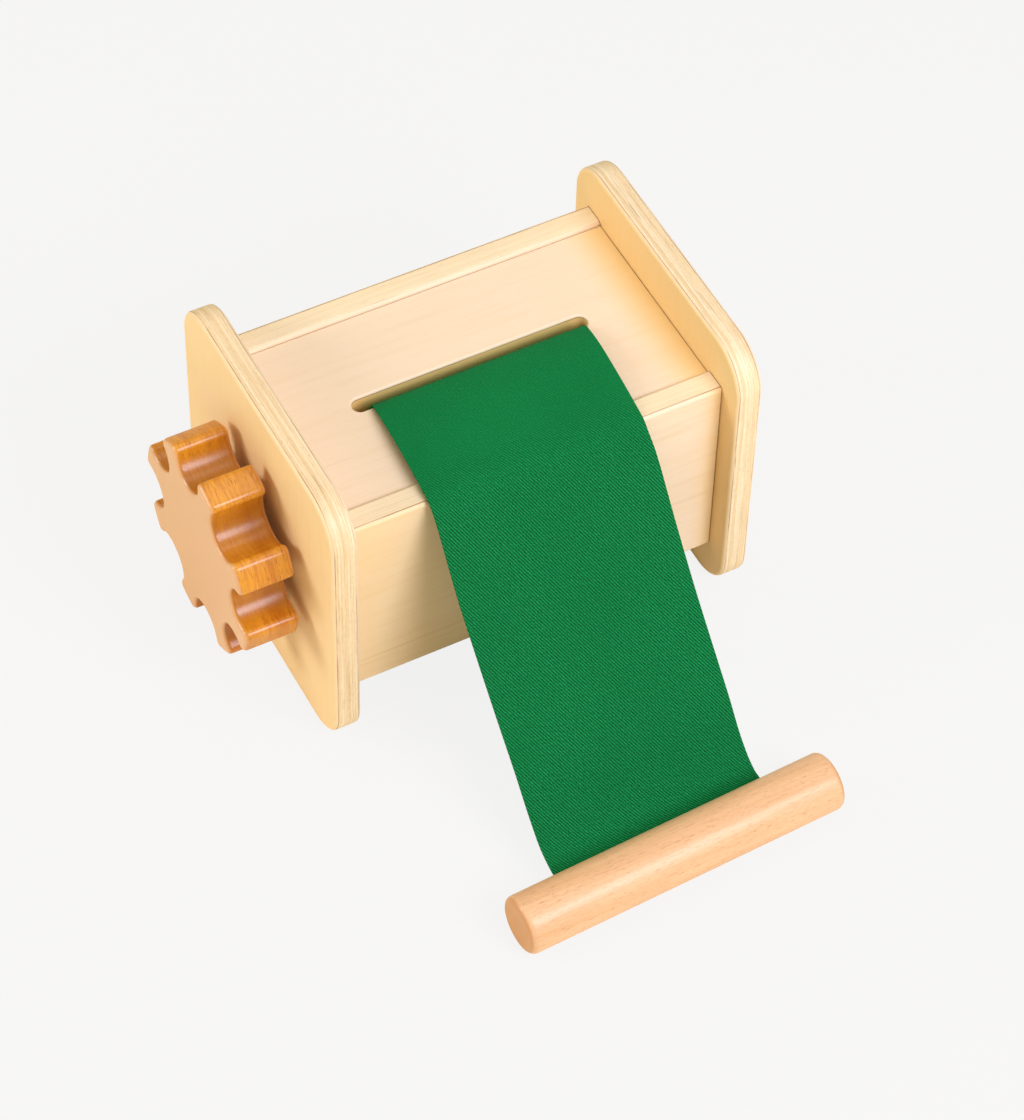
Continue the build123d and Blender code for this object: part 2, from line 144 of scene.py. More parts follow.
class StageSettings(bpy.types.PropertyGroup):
    backdrop: bpy.props.FloatVectorProperty(
        name="Backdrop", description="Floor and background",
        subtype="COLOR", size=4, min=0, max=1, default=colour(246, 246, 246))


# ------------------------------------------------------------------ shading helpers
def finish_named(name):
    """A new material, with its nodes and its shader ready to be wired."""
    material = bpy.data.materials.new(name)
    material.use_nodes = True
    tree = material.node_tree
    shader = tree.nodes["Principled BSDF"]
    return material, tree, shader


def feed(tree, socket, value):
    """Links a value that comes from a node, and sets a plain one on the socket."""
    if isinstance(value, bpy.types.NodeSocket):
        tree.links.new(value, socket)
    else:
        socket.default_value = value


def sums(tree, operation, first, second=0.0):
    """One step of arithmetic on plain numbers or values that come from nodes."""
    node = tree.nodes.new("ShaderNodeMath")
    node.operation = operation
    for socket, value in zip(node.inputs, (first, second)):
        feed(tree, socket, value)
    return node.outputs[0]


def from_to(tree, value, low, high, to_low=0.0, to_high=1.0, smooth=False):
    """The value, carried over from one range to another and kept within it."""
    node = tree.nodes.new("ShaderNodeMapRange")
    node.interpolation_type = "SMOOTHSTEP" if smooth else "LINEAR"
    feed(tree, node.inputs["Value"], value)
    node.inputs["From Min"].default_value = low
    node.inputs["From Max"].default_value = high
    node.inputs["To Min"].default_value = to_low
    node.inputs["To Max"].default_value = to_high
    return node.outputs["Result"]


def blend_colours(tree, share, first, second, mode="MIX"):
    """The first colour at a share of 0, and the second one at 1."""
    node = tree.nodes.new("ShaderNodeMix")
    node.data_type = "RGBA"
    node.blend_type = mode
    node.clamp_result = True
    feed(tree, node.inputs[0], share)
    feed(tree, node.inputs[6], first)
    feed(tree, node.inputs[7], second)
    return node.outputs[2]


def stretched(tree, vector, scale):
    """The place, stretched by a different amount along each axis."""
    node = tree.nodes.new("ShaderNodeMapping")
    node.inputs["Scale"].default_value = scale
    tree.links.new(vector, node.inputs["Vector"])
    return node.outputs["Vector"]


def moved(tree, vector, shift):
    """The place, moved by the same amount everywhere."""
    node = tree.nodes.new("ShaderNodeMapping")
    node.inputs["Location"].default_value = shift
    tree.links.new(vector, node.inputs["Vector"])
    return node.outputs["Vector"]


def parts_of(tree, vector):
    """A node whose outputs X, Y and Z are the parts of the place."""
    node = tree.nodes.new("ShaderNodeSeparateXYZ")
    tree.links.new(vector, node.inputs[0])
    return node


def speckle(tree, vector, scale, detail=2.0, roughness=0.5, distortion=0.0):
    """Soft noise from 0 to 1."""
    node = tree.nodes.new("ShaderNodeTexNoise")
    node.inputs["Scale"].default_value = scale
    node.inputs["Detail"].default_value = detail
    node.inputs["Roughness"].default_value = roughness
    node.inputs["Distortion"].default_value = distortion
    tree.links.new(vector, node.inputs["Vector"])
    return node.outputs["Fac"]


def drawn_out(tree, vector, scale, detail=2.0, roughness=0.5, distortion=0.0):
    """Noise with its own scale along each axis, as in grain."""
    return speckle(tree, stretched(tree, vector, scale), 1.0, detail, roughness, distortion)


def tinted(tree, base, value, low, high, share, tint, smooth=False):
    """The base colour, with more and more of the tint as the value goes from low to high."""
    return blend_colours(tree, from_to(tree, value, low, high, 0.0, share, smooth), base, tint)


def rough_surface(tree, shader, height, distance, strength=1.0):
    """Relief that is too fine for the mesh."""
    node = tree.nodes.new("ShaderNodeBump")
    node.inputs["Strength"].default_value = strength
    node.inputs["Distance"].default_value = distance
    tree.links.new(height, node.inputs["Height"])
    tree.links.new(node.outputs["Normal"], shader.inputs["Normal"])


def wood_place(tree, middle, order):
    """Object coordinates from the piece's middle, as (along the grain, across it, through)."""
    place = tree.nodes.new("ShaderNodeTexCoord").outputs["Object"]
    parts = parts_of(tree, moved(tree, place, [-v for v in middle]))
    joined = tree.nodes.new("ShaderNodeCombineXYZ")
    for socket, axis in zip(joined.inputs, order):
        tree.links.new(parts.outputs[axis], socket)
    return joined.outputs[0]


def near(tree, world, axis, place, reach, smooth=True):
    """1 at a plane square to an axis, fading to 0 at the reach.  Unless smooth, it fades late."""
    away = sums(tree, "ABSOLUTE", sums(tree, "SUBTRACT", world.outputs[axis], place))
    return from_to(tree, away, 0.0 if smooth else reach * 0.55, reach, 1.0, 0.0, smooth)


def dress(name, material):
    """Gives a solid its finish in every slot."""
    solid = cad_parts[name]
    slots = solid.data.materials
    if not slots:
        slots.append(material)
    for index in range(len(slots)):
        slots[index] = material


# ------------------------------------------------------------------ plywood
# Tints of the face veneer, and of the plies where they are cut.
MOTTLE = colour(240, 198, 150)
STREAK = colour(226, 182, 122)
FINE_LINE = colour(206, 156, 96)
PORE = colour(196, 140, 88)
LONG_GRAIN = colour(214, 166, 110)
END_GRAIN = colour(206, 158, 104)
PLY_GAP = colour(150, 112, 74)
# painted light: a bright orange-tan for the lid's cut plies, in place of light on the slot walls, which
# also hides the ribbon's green reflection there
SLOT_PAINTED_LIGHT = colour(255, 208, 128)
PLY_DRIFT = 0.22 * MM         # how far the plies wander from their level
GLUE_LINE = 0.13 * MM         # half the width of the lines between the inner plies
SEAM_REACH = 0.48 * MM        # half the width of a joint line
SEAM_SHARE = 0.78
GRAIN_RELIEF = 0.03 * MM


def face_veneer(tree, spot, world, figure, painted_shade_planes):
    """Colour of the broad faces: a soft mottle, faint streaks and lines, a few pores,
    and painted shade near the given planes.

    Also returns the streaks and pores, which the relief follows."""
    settings = bpy.context.scene.winder_plywood
    waves = drawn_out(tree, spot, (7, 26, 26), 3.0, 0.5, 1.2)
    streaks = drawn_out(tree, spot, (16, 330, 330), 4.0, 0.6, 0.5)
    lines = drawn_out(tree, spot, (11, 620, 620), 2.0, 0.5, 0.3)
    pores = drawn_out(tree, spot, (200, 2600, 2600))
    veneer = tinted(tree, settings.face, waves, 0.36, 0.7, 0.22 * figure, MOTTLE, smooth=True)
    veneer = tinted(tree, veneer, streaks, 0.5, 0.78, 0.42 * figure, STREAK)
    veneer = tinted(tree, veneer, lines, 0.66, 0.74, 0.34 * figure, FINE_LINE)
    veneer = tinted(tree, veneer, pores, 0.68, 0.8, 0.28, PORE)
    # painted shade: near each given plane the veneer is blended towards a deeper yellow, in place of the
    # shade and bounce light in corners and beside the knob
    for axis, plane, reach, share in painted_shade_planes:
        painted_shade_mask = sums(tree, "MULTIPLY", near(tree, world, axis, plane, reach), share)
        veneer = blend_colours(tree, painted_shade_mask, veneer, settings.painted_shade_tone)
    return veneer, streaks, pores


def cut_plies(tree, spot, level, half, seed, contrast, painted_light_share, line_side):
    """Colour of the plies where a panel is cut, by their level above its middle."""
    settings = bpy.context.scene.winder_plywood
    # the plies wander a little, as peeled veneers do, and no two have the same tone
    wander = drawn_out(tree, spot, (14, 14, 14))
    drifted = sums(tree, "ADD", level, from_to(tree, wander, 0.3, 0.7, -PLY_DRIFT, PLY_DRIFT))
    counted = sums(tree, "DIVIDE", sums(tree, "ADD", drifted, half), settings.ply)
    chance = tree.nodes.new("ShaderNodeTexWhiteNoise")
    chance.noise_dimensions = "1D"
    tree.links.new(sums(tree, "ADD", sums(tree, "FLOOR", counted), seed * 3.3), chance.inputs["W"])
    long_grain = drawn_out(tree, spot, (30, 30, 1300), 4.0, 0.65, 0.4)
    end_grain = drawn_out(tree, spot, (420, 420, 1500), 3.0, 0.6)
    cut = tinted(tree, settings.long_ply, chance.outputs["Value"], 0.1, 0.9, 0.75 * contrast,
                 settings.cross_ply)
    cut = tinted(tree, cut, long_grain, 0.48, 0.74, 0.5 * contrast + 0.12, LONG_GRAIN)
    cut = tinted(tree, cut, end_grain, 0.5, 0.78, 0.35 * contrast, END_GRAIN)

    across_ply = sums(tree, "ABSOLUTE", sums(tree, "SUBTRACT", sums(tree, "FRACT", counted), 0.5))
    line = from_to(tree, across_ply, 0.5 - GLUE_LINE / settings.ply, 0.5)
    broken = drawn_out(tree, spot, (60, 60, 500))
    line = sums(tree, "MULTIPLY", line, from_to(tree, broken, 0.4, 0.62, 0.05, 0.5 * contrast))
    cut = blend_colours(tree, line, cut, settings.glue)
    gaps = drawn_out(tree, spot, (34, 34, 620))
    cut = tinted(tree, cut, gaps, 0.69, 0.74, 0.6 * contrast, PLY_GAP)
    # painted light: the lid's cut plies take a bright orange-tan in place of light on the slot walls
    cut = blend_colours(tree, painted_light_share, cut, SLOT_PAINTED_LIGHT)

    # the glue line under the face veneer is the plainest one, and under one face more so
    if line_side:
        depth = sums(tree, "MULTIPLY", level, float(line_side))
        sharp, faded, least = 0.16 * MM, 0.4 * MM, 0.5
    else:
        depth = sums(tree, "ABSOLUTE", level)
        sharp, faded, least = 0.06 * MM, 0.26 * MM, 0.2
    under = sums(tree, "ABSOLUTE", sums(tree, "SUBTRACT", depth, half - settings.ply * 1.02))
    under = from_to(tree, under, sharp, faded, 1.0, 0.0)
    under = sums(tree, "MULTIPLY", under, from_to(tree, broken, 0.36, 0.6, least, 0.8))
    return blend_colours(tree, under, cut, settings.glue)


def birch_plywood(name, node, order, seed, contrast=1.0, painted_light_share=0.0, joints=(), painted_shade_planes=(), line_side=0,
                  figure=1.0):
    """Birch plywood for one panel: veneer on its faces, and its plies wherever they are cut.

    The order is the axes along the grain, across it and through the panel.  Contrast is how much its
    plies differ, then comes the share of a bright orange-tan painted on its cut plies in place of light,
    and figure is how strongly the grain of its faces shows.  Joints are planes (axis, place) with a dark
    line, and the planes (axis, place, reach, share) after them are where the veneer gets painted shade.
    The line side is the face, 1 or -1, whose own glue line shows on the edges."""
    settings = bpy.context.scene.winder_plywood
    low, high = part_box(node)
    through = "XYZ".index(order[2])
    half = (high[through] - low[through]) / 2
    material, tree, shader = finish_named(name)
    place = wood_place(tree, (low + high) / 2, order)
    world = parts_of(tree, tree.nodes.new("ShaderNodeTexCoord").outputs["Object"])
    spot = moved(tree, place, (seed * 0.37, seed * 0.71, 0))
    level = parts_of(tree, place).outputs["Z"]

    veneer, streaks, pores = face_veneer(tree, spot, world, figure, painted_shade_planes)
    cut = cut_plies(tree, spot, level, half, seed, contrast, painted_light_share, line_side)
    inside = sums(tree, "LESS_THAN", sums(tree, "ABSOLUTE", level), half - settings.ply * 0.86)
    finished = blend_colours(tree, inside, veneer, cut)
    for axis, plane in joints:
        seam = near(tree, world, axis, plane, SEAM_REACH, smooth=False)
        finished = blend_colours(tree, sums(tree, "MULTIPLY", seam, SEAM_SHARE), finished, settings.seam)
    tree.links.new(finished, shader.inputs["Base Color"])
    shader.inputs["Roughness"].default_value = 0.52
    shader.inputs["Coat Weight"].default_value = 0.08
    shader.inputs["Coat Roughness"].default_value = 0.4
    relief = sums(tree, "ADD", pores, sums(tree, "MULTIPLY", streaks, 1.5))
    rough_surface(tree, shader, relief, GRAIN_RELIEF)
    dress(node, material)


class WINDER_OT_panels(bpy.types.Operator):
    """Finish the six panels in birch plywood"""
    bl_idname = "winder.panels"
    bl_label = "Plywood panels"

    def execute(self, context):
        inner_left, inner_right = left_high.x, right_low.x
        lid_low, lid_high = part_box("lid_panel")
        painted_shade_reach = 1.6 * MM
        # painted shade: the planes given below tint the veneer deeper yellow on the left panel's outer face
        # beside the knob, on the right panel's inner face and near the end panels on the front panel and
        # lid, in place of shade and bounce light; the lid's cut plies also get painted light
        birch_plywood("plywood left end", "left_end_panel", "ZYX", 1.0,
                      painted_shade_planes=[("X", left_low.x, painted_shade_reach, 0.45)], figure=0.6)
        birch_plywood("plywood right end", "right_end_panel", "ZYX", 5.0,
                      painted_shade_planes=[("X", right_low.x, painted_shade_reach, 0.58)], figure=0.5)
        ends = [("X", inner_left), ("X", inner_right)]
        birch_plywood("plywood front", "front_panel", "XZY", 9.0, contrast=0.35, joints=ends, line_side=-1,
                      painted_shade_planes=[("X", inner_left, 90 * MM, 0.34), ("X", inner_right, 12 * MM, 0.4)],
                      figure=0.75)
        birch_plywood("plywood back", "back_panel", "XZY", 14.0, contrast=0.35, joints=ends, line_side=1)
        birch_plywood("plywood lid", "lid_panel", "XYZ", 21.0, contrast=0.3, painted_light_share=0.9,
                      joints=ends + [("Y", lid_low.y), ("Y", lid_high.y)],
                      painted_shade_planes=[("X", inner_right, 22 * MM, 0.6), ("X", inner_left, 8 * MM, 0.3)],
                      line_side=1, figure=0.4)
        birch_plywood("plywood floor", "floor_panel", "XYZ", 27.0)
        return {"FINISHED"}


# ------------------------------------------------------------------ beech
# What the wood's own colour is multiplied by, between its growth lines and in its pores.
GROWTH_SHADE = (0.70, 0.50, 0.28, 1)
PORE_SHADE = (0.62, 0.48, 0.36, 1)
# painted shade in the valleys between the knob's teeth
PAINTED_VALLEY_SHADE = colour(168, 98, 16)           # between the knob's teeth
FACE_CLOUD = colour(222, 164, 116)    # on the knob's faces


def beech(name, node, order, tone, growth=0.5, pore_share=0.55, roughness=0.38, seed=0.0, level_grain=False,
          end_shade=0.0, coat=0.45):
    """Beech with growth lines, short dark pores and a satin lacquer.

    Level grain lies in the plane of the first two directions, whichever way the surface turns.  End
    shade is how much darker the ends are, where the grain takes up more lacquer.  Returns what a
    caller may add to."""
    low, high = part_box(node)
    material, tree, shader = finish_named(name)
    place = wood_place(tree, (low + high) / 2, order)
    spot = moved(tree, place, (seed, seed * 0.6, seed * 0.3))

    def fibres(along, across, detail, rough=0.5, bend=0.0):
        scale = (along, along if level_grain else across, across)
        return drawn_out(tree, spot, scale, detail, rough, bend)

    rings = fibres(12 if level_grain else 6, 110, 2.0, 0.45, 0.4)
    streaks = fibres(60 if level_grain else 20, 900, 3.0, 0.6)
    pores = fibres(300, 3000, 1.0, 0.4)
    deep = blend_colours(tree, 1.0, tone, GROWTH_SHADE, "MULTIPLY")
    darker = blend_colours(tree, 1.0, deep, PORE_SHADE, "MULTIPLY")
    wood = tinted(tree, tone, rings, 0.38, 0.68, growth, deep, smooth=True)
    wood = tinted(tree, wood, streaks, 0.45, 0.72, growth, deep)
    wood = tinted(tree, wood, pores, 0.60, 0.72, pore_share, darker)
    if end_shade:
        half = (high - low)["XYZ".index(order[0])] / 2
        from_middle = sums(tree, "ABSOLUTE", parts_of(tree, place).outputs["X"])
        wood = tinted(tree, wood, from_middle, half - 2.2 * MM, half - 1.0 * MM, end_shade, deep,
                      smooth=True)
    tree.links.new(wood, shader.inputs["Base Color"])
    shader.inputs["Roughness"].default_value = roughness
    shader.inputs["Coat Weight"].default_value = coat
    shader.inputs["Coat Roughness"].default_value = 0.22
    relief = sums(tree, "ADD", sums(tree, "MULTIPLY", pores, -1.0), streaks)
    rough_surface(tree, shader, relief, GRAIN_RELIEF)
    dress(node, material)
    return tree, shader, place, wood


class WINDER_OT_knob(bpy.types.Operator):
    """Finish the toothed knob in lacquered beech"""
    bl_idname = "winder.knob"
    bl_label = "Toothed knob"

    def execute(self, context):
        settings = context.scene.winder_beech
        tree, shader, place, wood = beech("beech knob", "knob", "ZYX", settings.knob_side, growth=0.85,
                                          pore_share=0.75, roughness=0.36, seed=2.0, level_grain=True,
                                          coat=0.3)
        low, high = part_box("knob")
        half = (high.x - low.x) / 2
        parts = parts_of(tree, place)
        # painted shade between the teeth, darkest nearest the axle
        squares = [sums(tree, "MULTIPLY", parts.outputs[axis], parts.outputs[axis]) for axis in "XY"]
        from_axle = sums(tree, "SQRT", sums(tree, "ADD", *squares))
        hollow = from_to(tree, from_axle, 37 * MM, 45 * MM, 0.55, 0.0, smooth=True)
        wood = blend_colours(tree, hollow, wood, PAINTED_VALLEY_SHADE)
        cloud = drawn_out(tree, place, (18, 30, 30))
        face = tinted(tree, settings.knob_face, cloud, 0.3, 0.7, 0.25, FACE_CLOUD)
        face = blend_colours(tree, 0.05, face, wood)
        from_middle = sums(tree, "ABSOLUTE", parts.outputs["Z"])
        flat = from_to(tree, from_middle, half - 1.6 * MM, half - 0.3 * MM, smooth=True)
        tree.links.new(blend_colours(tree, flat, wood, face), shader.inputs["Base Color"])
        return {"FINISHED"}


class WINDER_OT_handle(bpy.types.Operator):
    """Finish the round handle and its key in pale beech"""
    bl_idname = "winder.handle"
    bl_label = "Pull handle"

    def execute(self, context):
        settings = context.scene.winder_beech
        beech("beech handle", "handle_bar", "XYZ", settings.handle, growth=0.26, pore_share=0.42,
              roughness=0.46, seed=1.0, end_shade=0.85, coat=0.2)
        beech("beech handle key", "handle_key", "XYZ", settings.handle, growth=0.3, pore_share=0.45,
              roughness=0.45, seed=3.0)
        return {"FINISHED"}


# ------------------------------------------------------------------ inside the box
STEEL, DULL_STEEL = colour(196, 198, 202), colour(158, 160, 165)
NYLON, DULL_NYLON = colour(236, 233, 222), colour(222, 217, 202)


class WINDER_OT_inner_works(bpy.types.Operator):
    """Finish the axle, roller, pins, dowels and washers"""
    bl_idname = "winder.inner_works"
    bl_label = "Axle, roller and joints"

    def execute(self, context):
        settings = context.scene.winder_beech
        for name, node, growth, roughness, seed in (
                ("beech roller", "roller", 0.45, 0.5, 5.0),
                ("beech roller key", "roller_key", 0.45, 0.5, 6.0),
                ("beech dowels left", "left_joint_dowels", 0.5, 0.6, 7.0),
                ("beech dowels right", "right_joint_dowels", 0.5, 0.6, 8.0)):
            beech(name, node, "XYZ", settings.handle, growth, 0.5, roughness, seed)
        for node, name in (("axle", "drawn steel"), ("roller_cross_pins", "pin steel")):
            material, tree, shader = finish_named(name)
            low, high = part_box(node)
            place = wood_place(tree, (low + high) / 2, "XYZ" if node == "axle" else "ZXY")
            drawn = drawn_out(tree, place, (30, 5200, 5200), 3.0)
            tree.links.new(blend_colours(tree, drawn, STEEL, DULL_STEEL), shader.inputs["Base Color"])
            shader.inputs["Metallic"].default_value = 1.0
            tree.links.new(from_to(tree, drawn, 0.3, 0.7, 0.26, 0.42), shader.inputs["Roughness"])
            rough_surface(tree, shader, drawn, 0.012 * MM)
            dress(node, material)
        for node in ("left_thrust_washer", "right_thrust_washer", "knob_spacer"):
            material, tree, shader = finish_named("nylon " + node.replace("_", " "))
            low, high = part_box(node)
            place = wood_place(tree, (low + high) / 2, "XYZ")
            haze = speckle(tree, place, 420.0, 3.0)
            tree.links.new(blend_colours(tree, haze, NYLON, DULL_NYLON), shader.inputs["Base Color"])
            shader.inputs["Roughness"].default_value = 0.42
            shader.inputs["Subsurface Weight"].default_value = 0.1
            shader.inputs["Subsurface Scale"].default_value = 2 * MM
            rough_surface(tree, shader, haze, 0.02 * MM)
            dress(node, material)
        return {"FINISHED"}


# ------------------------------------------------------------------ ribbon
# Middle of the ribbon's thickness along each of its edges, in millimetres.  The hump is counted
# forward from the front edge of the slot and up from the lid, the crest from the front panel's
# top edge, and the slope as (share of the way, drop below the straight line) to the handle.
HUMP = {"left": [(-1.95, 2.2), (-5.2, 3.1), (-11.0, 3.9), (-21.0, 5.0), (-33.0, 5.5), (-47.0, 5.4)],
        "right": [(-1.95, 2.1), (-4.8, 2.9), (-9.0, 3.8), (-16.0, 4.6), (-29.0, 4.6), (-43.0, 4.0)]}
CREST = {"left": [(3.9, 3.2), (0.3, 2.5), (-2.7, 0.7), (-7.8, -4.1)],
         "right": [(5.0, 1.3), (0.4, 0.0), (-4.2, -3.4), (-9.5, -7.4)]}
SLOPE = {"left": [(0.06, 2.3), (0.12, 5.1), (0.20, 7.8), (0.32, 9.0), (0.50, 10.0), (0.66, 10.2),
                  (0.80, 11.5), (0.88, 10.2), (0.94, 6.2)],
         "right": [(0.07, 0.6), (0.14, 2.8), (0.25, 5.6), (0.38, 7.9), (0.55, 9.1), (0.70, 9.9),
                   (0.83, 11.5), (0.89, 9.9), (0.95, 5.8)]}
ASKEW = 3.4                   # how much further right the ribbon lies at the slot
DRIFT = -0.7                  # and at the handle, where it is a little further left
STRAIGHT_START = 0.8          # it first goes on as it left the slot
SQUARE_END = 2.5              # and it ends square to the handle
HANDLE_GAP = 0.3              # from that end to the handle
TUCKED = (4.5, 8.8)           # depths in the handle that it passes
TUCK_DEPTH = 8.9              # how deep its solid goes
SEAT = 12.0                   # radius of the roller
SEAT_GAP = 0.3                # between the roller and the first turn
PITCH = 1.3                   # from one turn to the next
WOUND_STEPS = 40              # places along each turn
# Direction on the cloth that is square to the twill lines, as shares across it and along it.
TWILL_ACROSS, TWILL_ALONG = 0.872, -0.49
FLAT_TWILL, OPEN_TWILL = 85 * MM, 118 * MM
GLINT = colour(52, 160, 102)
FLECK = colour(40, 160, 98)
PATCH = colour(0, 96, 44)


def ribbon_finish(name):
    """Green twill on the ribbon's own map, which is in metres: across it and along it."""
    settings = bpy.context.scene.winder_ribbon
    material, tree, shader = finish_named(name)
    chart = tree.nodes.new("ShaderNodeUVMap")
    chart.uv_map = "cloth"
    cloth = chart.outputs[0]
    across, along = parts_of(tree, cloth).outputs["X"], parts_of(tree, cloth).outputs["Y"]
    uneven = drawn_out(tree, cloth, (900, 900, 1))
    fleck = drawn_out(tree, cloth, (1500, 1500, 1))
    patches = drawn_out(tree, cloth, (26, 18, 1))

    # the raised lines of the twill, with a glint along their tops
    slanted = sums(tree, "ADD", sums(tree, "MULTIPLY", across, TWILL_ACROSS),
                   sums(tree, "MULTIPLY", along, TWILL_ALONG))
    counted = sums(tree, "ADD", sums(tree, "DIVIDE", slanted, settings.twill),
                   from_to(tree, uneven, 0.2, 0.8, -0.22, 0.22))
    from_top = sums(tree, "ABSOLUTE", sums(tree, "SUBTRACT", sums(tree, "FRACT", counted), 0.5))
    furrow = from_to(tree, from_top, 0.18, 0.44, smooth=True)
    glint = sums(tree, "MULTIPLY", from_to(tree, from_top, 0.0, 0.16, 1.0, 0.0),
                 from_to(tree, fleck, 0.4, 0.65, 0.15, 0.75))
    # the twill is drawn flat where it leaves the box, and opens over the front panel
    opened = from_to(tree, along, FLAT_TWILL, OPEN_TWILL, 0.35, 1.0, smooth=True)
    green = blend_colours(tree, sums(tree, "MULTIPLY", furrow, opened), settings.thread, settings.hollow)
    green = blend_colours(tree, sums(tree, "MULTIPLY", glint, opened), green, GLINT)
    green = tinted(tree, green, fleck, 0.48, 0.75, 0.25, FLECK)
    green = tinted(tree, green, patches, 0.4, 0.7, 0.2, PATCH)
    tree.links.new(green, shader.inputs["Base Color"])
    shader.inputs["Roughness"].default_value = 0.82
    shader.inputs["Specular IOR Level"].default_value = 0.1
    shader.inputs["Sheen Weight"].default_value = 0.02
    shader.inputs["Sheen Roughness"].default_value = 0.5

    threads = sums(tree, "FRACT", sums(tree, "DIVIDE", along, settings.twill * 0.45))
    threads = sums(tree, "ABSOLUTE", sums(tree, "SUBTRACT", threads, 0.5))
    height = sums(tree, "ADD", sums(tree, "MULTIPLY", furrow, -1.0), sums(tree, "MULTIPLY", threads, 0.5))
    rough_surface(tree, shader, height, 0.12 * MM, 0.8)
    return material


def smooth_line(points, steps):
    """Even steps along a smooth line through the points, and the line's length."""
    tangents = []
    for i, point in enumerate(points):
        before = points[max(i - 1, 0)]
        after = points[min(i + 1, len(points) - 1)]
        reach_in = (point - before).length
        reach_out = (after - point).length
        if reach_in == 0 or reach_out == 0:
            tangents.append((after - before).normalized())
        else:
            tangents.append(((point - before) / reach_in * reach_out
                             + (after - point) / reach_out * reach_in) / (reach_in + reach_out))
    fine = []
    for i in range(len(points) - 1):
        third = (points[i + 1] - points[i]).length / 3
        fine += interpolate_bezier(points[i], points[i] + tangents[i] * third,
                                   points[i + 1] - tangents[i + 1] * third, points[i + 1], 40)[:-1]
    fine.append(points[-1])
    run = [0.0]
    for i in range(1, len(fine)):
        run.append(run[-1] + (fine[i] - fine[i - 1]).length)
    even = []
    i = 0
    for step in range(steps + 1):
        wanted = run[-1] * step / steps
        while i < len(fine) - 2 and run[i + 1] < wanted:
            i += 1
        share = (wanted - run[i]) / max(run[i + 1] - run[i], 1e-9)
        even.append(fine[i].lerp(fine[i + 1], min(max(share, 0), 1)))
    return even, run[-1]


def box_place(x, y, z):
    """A place given in millimetres from the box's own middle."""
    return Vector((BOX_X + x * MM, BOX_Y + y * MM, z * MM))


def ribbon_lean():
    """How far the ribbon leans back from upright between the roll and the slot."""
    low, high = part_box("ribbon_inner_run")
    thickness = bpy.context.scene.winder_ribbon.thickness
    return math.atan2(high.y - low.y - thickness, LID_TOP - low.z)


def box_ribbon(side):
    """Places (back, up) of one edge, in millimetres, from the roll to the front panel."""
    half = bpy.context.scene.winder_ribbon.thickness / MM / 2
    run_low, run_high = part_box("ribbon_inner_run")
    slot_y = (run_low.y - BOX_Y) / MM
    lid_top = LID_TOP / MM
    lean = ribbon_lean()
    foot = ((run_high.y - BOX_Y) / MM - half * math.cos(lean), run_low.z / MM + half * math.sin(lean))
    start = (slot_y + half * math.cos(lean), lid_top + half * math.sin(lean))
    line = [foot, ((foot[0] + start[0]) / 2, (foot[1] + start[1]) / 2), start,
            (start[0] - STRAIGHT_START * math.sin(lean), start[1] + STRAIGHT_START * math.cos(lean))]
    line += [(slot_y + forward, lid_top + up) for forward, up in HUMP[side]]
    line += [((FRONT_Y - BOX_Y) / MM + forward, FRONT_TOP / MM + up) for forward, up in CREST[side]]
    return line


def by_handle(x):
    """Places in and before the handle at a place along it, by their distance back from its middle."""
    bar_low, bar_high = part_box("handle_bar")
    end_low, end_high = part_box("ribbon_handle_end")
    yaw = math.atan2(end_high.y - end_low.y - TUCK_DEPTH * MM, end_high.x - end_low.x)
    along = Vector((math.cos(yaw), math.sin(yaw)))
    aside = Vector((-math.sin(yaw), math.cos(yaw)))
    middle = (bar_low + bar_high) / 2
    middle = Vector(((middle.x - BOX_X) / MM, (middle.y - BOX_Y) / MM))
    level = (end_low.z + end_high.z) / 2 / MM

    def place(back):
        spot = middle + along * (x - middle.x) + aside * back
        return (spot.x, spot.y, level)

    return place


def free_edge(side):
    """The places that one edge of the free ribbon passes, from the roll to inside the handle."""
    x = (RIBBON_LEFT - BOX_X) / MM
    if side == "right":
        x += RIBBON_WIDTH / MM
    line = box_ribbon(side)
    crest = line[-1]
    # over the lid the ribbon runs a little askew, and it leaves the roll square again
    slot_y = (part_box("ribbon_inner_run")[0].y - BOX_Y) / MM
    front_edge = (FRONT_Y - BOX_Y) / MM + CREST[side][0][0]
    places = []
    for i, (y, z) in enumerate(line):
        share = (0.0, 0.6, 1.0)[i] if i < 3 else (y - front_edge) / (slot_y - front_edge)
        places.append((x + ASKEW * min(max(share, 0.0), 1.0), y, z))

    low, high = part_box("handle_bar")
    radius = (high.z - low.z) / 2 / MM
    handle_place = by_handle(x + DRIFT)
    entry = handle_place(radius + HANDLE_GAP)
    for share, drop in SLOPE[side]:
        places.append((x + (entry[0] - x) * share, crest[0] + (entry[1] - crest[0]) * share,
                       crest[1] + (entry[2] - crest[1]) * share - drop))
    places += [handle_place(radius + HANDLE_GAP + SQUARE_END), entry]
    places += [handle_place(radius - depth) for depth in TUCKED]
    return [box_place(*place) for place in places]


